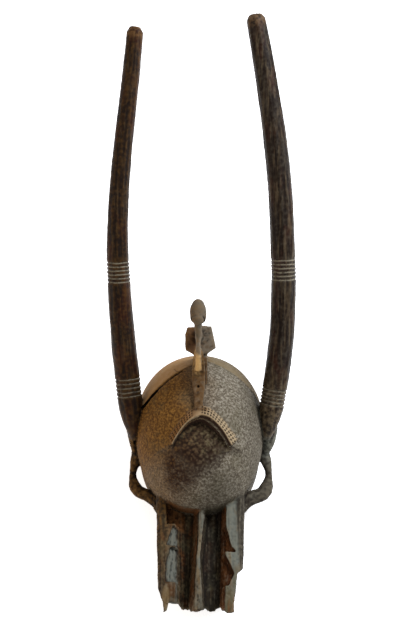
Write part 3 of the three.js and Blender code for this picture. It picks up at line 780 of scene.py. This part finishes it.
class MASK_OT_carve(bpy.types.Operator):
    """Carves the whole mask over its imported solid"""

    bl_idname = "mask_part.carve"
    bl_label = "Carve the mask"

    def execute(self, context):
        cuts = context.scene.mask_cuts
        piece = blank_from("mask", "mask_carving")
        apply_modifier(piece, "REMESH", mode="VOXEL", voxel_size=cuts.grain_of_mesh, adaptivity=0)
        apply_modifier(piece, "SMOOTH", factor=0.5, iterations=4)
        mesh = piece.data
        points, normals, middle = mesh_points(mesh)
        set_points(mesh, true_up_dome(points, normals), middle)
        points, normals, middle = mesh_points(mesh)
        set_points(mesh, soften_joints(points, normals, mesh_edges(mesh)), middle)
        points, normals, middle = mesh_points(mesh)
        push = tool_marks(points, normals, forms(points, normals), cuts)
        set_points(mesh, points + normals * push[:, None], middle)
        faces = sum(len(p.vertices) - 2 for p in mesh.polygons)
        apply_modifier(piece, "DECIMATE", ratio=min(1.0, cuts.triangles / faces))
        mark_patina(piece.data, cuts)
        bpy.ops.object.shade_smooth()
        piece.data.materials.append(patina(context.scene.mask_colours))
        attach(piece, "root")
        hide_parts("mask")
        return {"FINISHED"}


def add_node(tree, kind, inputs=(), output=0, **settings):
    """Adds a shader node with its settings, values and links, and gives one of its outputs."""
    node = tree.nodes.new(kind)
    for name, value in settings.items():
        setattr(node, name, value)
    for socket, value in dict(inputs).items():
        if isinstance(value, bpy.types.NodeSocket):
            tree.links.new(value, node.inputs[socket])
        else:
            node.inputs[socket].default_value = value
    return node.outputs[output]


# The patina's patterns: size in mm, detail, roughness, how far it is drawn out along Y, and its turn about X.
PATTERNS = {
    "specks": (3.8, 3, 0.7, 1, 0),
    "spots": (8.0, 3, 0.6, 1, 0),
    "blotches": (34.0, 3, 0.55, 1, 0),
    "fibres": (4.6, 4, 0.6, 12, 0),
    "stains": (17.0, 4, 0.6, 3, 0),
    "horn_fibres": (4.6, 4, 0.6, 11, HORN_ANGLES[0]),
    "horn_patches": (20.0, 4, 0.6, 3, HORN_ANGLES[0]),
}

# The patina's coats, from the first to the last: where it lies, its pattern, the pattern's values between
# which it comes in, its strength and its colour. A coat with no pattern is even.
COATS = [
    # Painted light: the grey dome coats give the cool, lit right side, and the golden coats after them the
    # warm, dim left side.
    ("dome", None, 0, 0, 1.0, "dome"),
    ("dome", "specks", 0.45, 0.61, 0.8, "dome_speck"),
    ("dome", "blotches", 0.5, 0.7, 0.45, "olive"),
    ("dome_left", None, 0, 0, 1.0, "golden"),
    ("dome_left", "specks", 0.45, 0.61, 0.85, "golden_speck_warm_side_light"),
    ("dome_left", "blotches", 0.52, 0.66, 0.3, "olive"),
    # Painted shade on the dome's right edge and low front.
    ("dusk", None, 0, 0, 0.5, "grey_brown"),
    ("rim", None, 0, 0, 0.85, "smooth_rim"),
    # Painted light: the smooth band's warm left side.
    ("rim_left", None, 0, 0, 0.9, "smooth_rim_left"),
    ("forehead", None, 0, 0, 0.85, "forehead"),
    ("forehead", "spots", 0.48, 0.64, 0.7, "forehead_dust"),
    ("soot", None, 0, 0, 0.6, "soot"),
    ("soot", "spots", 0.4, 0.54, 0.9, "soot"),
    ("brow", None, 0, 0, 1.0, "brow"),
    ("brow", "spots", 0.5, 0.66, 0.4, "pale_tan"),
    # Painted light: the brow's warm, dim left side.
    ("brow_left", None, 0, 0, 0.95, "brow_left"),
    ("brow_left", "specks", 0.5, 0.64, 0.4, "golden_speck_warm_side_light"),
    ("brow_left", "spots", 0.4, 0.6, 0.4, "soot"),
    ("brow_edge", None, 0, 0, 0.8, "pale_tan"),
    ("horn", None, 0, 0, 1.0, "horn"),
    ("horn", "horn_patches", 0.5, 0.66, 0.8, "horn_red"),
    # Grey streaks of rubbing and painted sheen on all horns.
    ("horn", "horn_fibres", 0.55, 0.65, 0.16, "horn_worn_and_sheen"),
    # Painted light: more grey streaks on the right horn and its root.
    ("horn_right", "horn_fibres", 0.48, 0.64, 0.24, "horn_worn_and_sheen"),
    ("horn_root_right", "spots", 0.4, 0.6, 0.6, "horn_worn_and_sheen"),
    ("limb", None, 0, 0, 0.8, "horn"),
    ("limb", "spots", 0.48, 0.66, 0.4, "horn_worn_and_sheen"),
    # Painted light: cool grey on the right ear and loop, paler spots on the right ear.
    ("limb_right", None, 0, 0, 0.8, "grey_brown"),
    ("ear_right", "spots", 0.3, 0.56, 0.8, "pale"),
    ("tips", "spots", 0.36, 0.54, 0.75, "tip"),
    ("keel", None, 0, 0, 1.0, "keel"),
    ("keel", "spots", 0.5, 0.64, 0.35, "bird"),
    # Painted shade down the keel's left flank.
    ("keel_edge", None, 0, 0, 0.7, "soot"),
    ("bird", None, 0, 0, 1.0, "bird"),
    ("bird", "spots", 0.46, 0.6, 0.4, "keel"),
    ("bird_left", None, 0, 0, 0.85, "bird_left"),
    ("head", None, 0, 0, 0.6, "grey_brown"),
    ("break", None, 0, 0, 0.95, "ochre"),
    ("muzzle_side", "spots", 0.4, 0.7, 0.4, "horn_worn_and_sheen"),
    ("trough", None, 0, 0, 1.0, "trough"),
    ("trough", "stains", 0.5, 0.62, 0.8, "russet"),
    ("trough", "blotches", 0.46, 0.6, 0.6, "olive"),
    ("trough_right", "stains", 0.36, 0.5, 0.75, "trough_dark"),
    ("ridge_flank", "fibres", 0.4, 0.6, 0.75, "russet"),
    ("ridge", "fibres", 0.3, 0.56, 0.8, "pale"),
    ("ridge", "stains", 0.42, 0.58, 0.6, "pale_tan"),
    # Painted light: lit grey on the right wall's top, with real stains over it.
    ("right_wall", None, 0, 0, 1.0, "pale"),
    ("right_wall", "stains", 0.5, 0.64, 0.7, "pale_tan"),
    ("right_wall_front", "stains", 0.3, 0.56, 0.85, "olive"),
    ("right_wall_front", "fibres", 0.5, 0.6, 0.6, "brow_left"),
    # Painted light: cool grey on the muzzle's right side.
    ("muzzle_side_right", None, 0, 0, 0.95, "grey_brown"),
    # Painted shade: the left wall's top in the troughs' dark colour, with real stains over it.
    ("left_wall", None, 0, 0, 1.0, "trough"),
    ("left_wall", "stains", 0.46, 0.6, 0.35, "brow_left"),
    ("left_wall", "blotches", 0.5, 0.64, 0.6, "olive"),
    # Painted shade on the right notches' faces.
    ("right_notches", None, 0, 0, 1.0, "russet"),
    ("right_notches", "stains", 0.46, 0.6, 0.7, "soot"),
    # Painted light on the left notches' faces.
    ("left_notches", None, 0, 0, 0.95, "pale"),
    ("left_notches", "fibres", 0.5, 0.64, 0.4, "dust"),
    ("finger", None, 0, 0, 0.8, "pale_tan"),
    ("pocket", None, 0, 0, 0.95, "brow_left"),
    ("pocket", "spots", 0.44, 0.58, 0.6, "soot"),
    ("throat", "spots", 0.2, 0.5, 0.95, "brow_left"),
    ("throat_right", "spots", 0.3, 0.6, 0.7, "olive"),
    ("worn", "spots", 0.3, 0.6, 0.26, "dust"),
    # Rubbed high spots in the painted warm tone of the left side.
    ("worn_left", "spots", 0.3, 0.6, 0.4, "golden_speck_warm_side_light"),
    ("hollow", None, 0, 0, 0.72, "deep"),
    ("under_lip", None, 0, 0, 0.95, "lip"),
    # Painted highlight on the arch's left inner edge.
    ("lip_edge", None, 0, 0, 0.8, "brow"),
    ("grid", None, 0, 0, 0.95, "deep"),
    ("rings", "spots", 0.25, 0.5, 0.75, "dust"),
    ("seam", None, 0, 0, 0.9, "deep"),
    ("crack", None, 0, 0, 0.95, "deep"),
]


def patina(colours):
    """Carved hardwood, blackened with oil and soot, dusty on the dome and rubbed bare on its edges.
    It gives the eye a dry dark brown with grey high spots, and a low sheen on the handled horns. Some of its
    coats paint light and shade: a warm, dim left side, a cool, lit right side, and lit and shaded edges and
    faces."""
    material = bpy.data.materials.new("oiled_carved_wood")
    material.use_nodes = True
    tree = material.node_tree
    tree.nodes.clear()
    here = add_node(tree, "ShaderNodeTexCoord", output="Object")
    waves = {}
    for name, (size, detail, rough, run, turn) in PATTERNS.items():
        laid = {"Vector": here, "Scale": (1, run, 1), "Rotation": (math.radians(turn), 0, 0)}
        place = add_node(tree, "ShaderNodeMapping", laid, vector_type="TEXTURE")
        settings = {"Vector": place, "Scale": 1 / (size * MM), "Detail": detail, "Roughness": rough}
        waves[name] = add_node(tree, "ShaderNodeTexNoise", settings, "Fac")
    base = tuple(colours.plain)
    for where, pattern, low, high, strength, name in COATS:
        share = strength
        if pattern:
            reach = {"Value": waves[pattern], "From Min": low, "From Max": high, "To Max": strength}
            share = add_node(tree, "ShaderNodeMapRange", reach, "Result")
        mark = add_node(tree, "ShaderNodeAttribute", (), "Fac", attribute_name=where)
        share = add_node(tree, "ShaderNodeMath", {0: mark, 1: share}, operation="MULTIPLY")
        paint = {0: share, 6: base, 7: tuple(getattr(colours, name))}
        base = add_node(tree, "ShaderNodeMix", paint, 2, data_type="RGBA")
    fine = add_node(tree, "ShaderNodeTexNoise", {"Vector": here, "Scale": 1 / (1.8 * MM), "Detail": 3}, "Fac")
    relief = {"Strength": 0.35, "Distance": 0.6 * MM, "Height": fine}
    relief = {"Strength": 0.3, "Height": waves["fibres"], "Normal": add_node(tree, "ShaderNodeBump", relief)}
    relief["Distance"] = 0.5 * MM
    mark = add_node(tree, "ShaderNodeAttribute", (), "Fac", attribute_name="horn")
    gloss = {"Value": mark, "To Min": 0.78, "To Max": 0.5}
    wood = {
        "Base Color": base,
        "Roughness": add_node(tree, "ShaderNodeMapRange", gloss, "Result"),
        "IOR": 1.5,
        "Specular IOR Level": 0.08,
        "Normal": add_node(tree, "ShaderNodeBump", relief),
    }
    surface = add_node(tree, "ShaderNodeBsdfPrincipled", wood, "BSDF")
    ending = tree.nodes.new("ShaderNodeOutputMaterial")
    tree.links.new(surface, ending.inputs["Surface"])
    return material


def floor_sheet(stage):
    """Opal white acrylic with an even light behind it, so that the mask hardly throws a shadow on it."""
    material = bpy.data.materials.new("backlit_opal_acrylic")
    material.use_nodes = True
    shader = material.node_tree.nodes["Principled BSDF"]
    shader.inputs["Base Color"].default_value = tuple(stage.floor)
    shader.inputs["Emission Color"].default_value = tuple(stage.floor)
    shader.inputs["Emission Strength"].default_value = stage.floor_light
    shader.inputs["Roughness"].default_value = 0.9
    return material


def soft_light(name, place, target, size, power, code):
    """A square soft box at a place, turned to its target."""
    bpy.ops.object.light_add(type="AREA", location=place)
    lamp = bpy.context.object
    lamp.name = name
    lamp.data.shape = "SQUARE"
    lamp.data.size = size
    lamp.data.energy = power
    lamp.data.color = linear(code)[:3]
    lamp.rotation_euler = (Vector(target) - Vector(place)).to_track_quat("-Z", "Y").to_euler()
    return lamp


class MASK_OT_set_stage(bpy.types.Operator):
    """Sets the pale floor, the soft lights and the camera"""

    bl_idname = "mask_part.set_stage"
    bl_label = "Set the stage"

    def execute(self, context):
        stage = context.scene.mask_stage
        bpy.ops.mesh.primitive_plane_add(size=12)
        floor = context.object
        floor.name = "floor"
        floor.data.materials.append(floor_sheet(stage))
        middle = (0, -0.05, 0.15)
        soft_light("cool_key", (1.5, 0.9, 1.9), middle, 1.1, stage.key_power, "#f2f6ff")
        soft_light("warm_fill", (-1.7, -0.5, 1.2), middle, 1.4, stage.fill_power, "#ffd9b0")
        world = bpy.data.worlds.new("pale_room")
        world.use_nodes = True
        background = world.node_tree.nodes["Background"]
        background.inputs["Color"].default_value = linear("#f6f7f8")
        background.inputs["Strength"].default_value = stage.room_light
        context.scene.world = world
        context.scene.view_settings.view_transform = "Standard"
        bpy.ops.object.camera_add(location=CAMERA_PLACE, rotation=(math.radians(CAMERA_TILT), 0, 0))
        camera = context.object
        camera.name = "camera"
        camera.data.sensor_fit = "VERTICAL"
        camera.data.sensor_height = 36
        camera.data.lens = CAMERA_LENS
        context.scene.camera = camera
        return {"FINISHED"}


class MASK_PT_panel(bpy.types.Panel):
    """Lists the mask's steps and their settings"""

    bl_idname = "MASK_PT_panel"
    bl_label = "Helmet mask"
    bl_space_type = "VIEW_3D"
    bl_region_type = "UI"
    bl_category = "Mask"

    def draw(self, context):
        for operator, group in (
            ("mask_part.carve", context.scene.mask_cuts),
            (None, context.scene.mask_colours),
            ("mask_part.set_stage", context.scene.mask_stage),
        ):
            box = self.layout.box()
            if operator:
                box.operator(operator)
            for name in group.__annotations__:
                box.prop(group, name)


GROUPS = {"mask_cuts": MaskCuts, "mask_colours": MaskColours, "mask_stage": MaskStage}
CLASSES = [*GROUPS.values(), MASK_OT_carve, MASK_OT_set_stage, MASK_PT_panel]


def register():
    for cls in CLASSES:
        bpy.utils.register_class(cls)
    for name, group in GROUPS.items():
        setattr(bpy.types.Scene, name, bpy.props.PointerProperty(type=group))


def unregister():
    for name in GROUPS:
        delattr(bpy.types.Scene, name)
    for cls in reversed(CLASSES):
        bpy.utils.unregister_class(cls)


def main():
    register()
    bpy.ops.mask_part.carve()
    bpy.ops.mask_part.set_stage()


if __name__ == "__main__":
    main()
